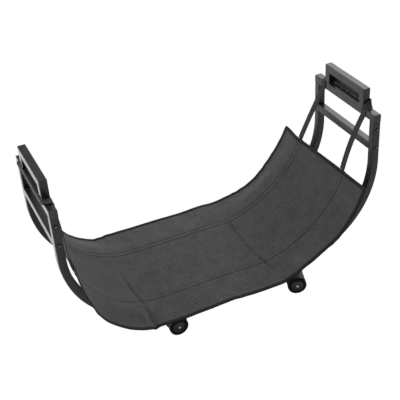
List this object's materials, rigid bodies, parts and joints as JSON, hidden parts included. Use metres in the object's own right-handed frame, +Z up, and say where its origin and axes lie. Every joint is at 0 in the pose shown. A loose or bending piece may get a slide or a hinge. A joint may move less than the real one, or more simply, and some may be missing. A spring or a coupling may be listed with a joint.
{
  "type": "fireside log cart",
  "caption": "Low rolling cart of bent square tube with swivel casters and end handles; a fabric sling hung inside it carries firewood and lifts out by webbing loops.",
  "frame": {"origin": "on the floor, under the middle of the cart's overall box", "axes": "+X along the cart, from one handle towards the other; +Y across it; +Z up"},
  "size_m": [0.8526, 0.416, 0.511],
  "materials": {
    "frame_paint": "satin black powder coat",
    "cap_plastic": "matte moulded black",
    "bolt_steel": "black oxide",
    "zinc_steel": "zinc plated",
    "sling_cloth": "charcoal woven polyester",
    "binding_tape": "black bias tape",
    "webbing": "black woven webbing",
    "caster_plastic": "satin moulded black",
    "hub_plastic": "semi-gloss moulded black",
    "tyre": "matte black tread"
  },
  "bodies": {
    "frame": {"front_rail": "frame_paint", "rear_rail": "frame_paint", "left_top_crossbar": "frame_paint", "right_top_crossbar": "frame_paint", "top_crossbar_caps": "cap_plastic", "left_handle": "frame_paint", "right_handle": "frame_paint", "left_rail_stubs": "frame_paint", "right_rail_stubs": "frame_paint", "left_lower_crossbar": "frame_paint", "right_lower_crossbar": "frame_paint", "crossbar_plugs": "zinc_steel", "upper_bolts": "bolt_steel", "upper_bolt_nuts": "bolt_steel", "crossbar_bolts": "bolt_steel", "left_caster_beam": "frame_paint", "right_caster_beam": "frame_paint", "beam_caps": "cap_plastic", "rail_weld_nuts": "zinc_steel", "stem_snap_rings": "zinc_steel", "sling_cloth": "sling_cloth", "sling_binding": "binding_tape", "front_sling_webbing": "webbing", "rear_sling_webbing": "webbing", "left_carry_webbing": "webbing", "right_carry_webbing": "webbing", "front_left_stem": "zinc_steel", "front_right_stem": "zinc_steel", "rear_left_stem": "zinc_steel", "rear_right_stem": "zinc_steel"},
    "front_left_caster": {"front_left_hood": "caster_plastic", "front_left_axle": "zinc_steel"},
    "front_left_outer_wheel": {"front_left_outer_hub": "hub_plastic", "front_left_outer_tyre": "tyre"},
    "front_left_inner_wheel": {"front_left_inner_hub": "hub_plastic", "front_left_inner_tyre": "tyre"},
    "front_right_caster": {"front_right_hood": "caster_plastic", "front_right_axle": "zinc_steel"},
    "front_right_outer_wheel": {"front_right_outer_hub": "hub_plastic", "front_right_outer_tyre": "tyre"},
    "front_right_inner_wheel": {"front_right_inner_hub": "hub_plastic", "front_right_inner_tyre": "tyre"},
    "rear_left_caster": {"rear_left_hood": "caster_plastic", "rear_left_axle": "zinc_steel"},
    "rear_left_outer_wheel": {"rear_left_outer_hub": "hub_plastic", "rear_left_outer_tyre": "tyre"},
    "rear_left_inner_wheel": {"rear_left_inner_hub": "hub_plastic", "rear_left_inner_tyre": "tyre"},
    "rear_right_caster": {"rear_right_hood": "caster_plastic", "rear_right_axle": "zinc_steel"},
    "rear_right_outer_wheel": {"rear_right_outer_hub": "hub_plastic", "rear_right_outer_tyre": "tyre"},
    "rear_right_inner_wheel": {"rear_right_inner_hub": "hub_plastic", "rear_right_inner_tyre": "tyre"}
  },
  "joints": [
    {"name": "front_left_swivel", "type": "hinge", "parent": "frame", "child": "front_left_caster", "pos_m": [-0.172, -0.128, 0.058], "axis": [0, 0, 1], "continuous": true},
    {"name": "front_left_outer_roll", "type": "hinge", "parent": "front_left_caster", "child": "front_left_outer_wheel", "pos_m": [-0.157, -0.128, 0.025], "axis": [0, 1, 0], "continuous": true},
    {"name": "front_left_inner_roll", "type": "hinge", "parent": "front_left_caster", "child": "front_left_inner_wheel", "pos_m": [-0.157, -0.128, 0.025], "axis": [0, 1, 0], "continuous": true},
    {"name": "front_right_swivel", "type": "hinge", "parent": "frame", "child": "front_right_caster", "pos_m": [0.172, -0.128, 0.058], "axis": [0, 0, 1], "continuous": true},
    {"name": "front_right_outer_roll", "type": "hinge", "parent": "front_right_caster", "child": "front_right_outer_wheel", "pos_m": [0.18627, -0.13264, 0.025], "axis": [0.309, 0.9511, 0], "continuous": true},
    {"name": "front_right_inner_roll", "type": "hinge", "parent": "front_right_caster", "child": "front_right_inner_wheel", "pos_m": [0.18627, -0.13264, 0.025], "axis": [0.309, 0.9511, 0], "continuous": true},
    {"name": "rear_left_swivel", "type": "hinge", "parent": "frame", "child": "rear_left_caster", "pos_m": [-0.172, 0.128, 0.058], "axis": [0, 0, 1], "continuous": true},
    {"name": "rear_left_outer_roll", "type": "hinge", "parent": "rear_left_caster", "child": "rear_left_outer_wheel", "pos_m": [-0.157, 0.128, 0.025], "axis": [0, 1, 0], "continuous": true},
    {"name": "rear_left_inner_roll", "type": "hinge", "parent": "rear_left_caster", "child": "rear_left_inner_wheel", "pos_m": [-0.157, 0.128, 0.025], "axis": [0, 1, 0], "continuous": true},
    {"name": "rear_right_swivel", "type": "hinge", "parent": "frame", "child": "rear_right_caster", "pos_m": [0.172, 0.128, 0.058], "axis": [0, 0, 1], "continuous": true},
    {"name": "rear_right_outer_roll", "type": "hinge", "parent": "rear_right_caster", "child": "rear_right_outer_wheel", "pos_m": [0.187, 0.128, 0.025], "axis": [0, 1, 0], "continuous": true},
    {"name": "rear_right_inner_roll", "type": "hinge", "parent": "rear_right_caster", "child": "rear_right_inner_wheel", "pos_m": [0.187, 0.128, 0.025], "axis": [0, 1, 0], "continuous": true}
  ]
}
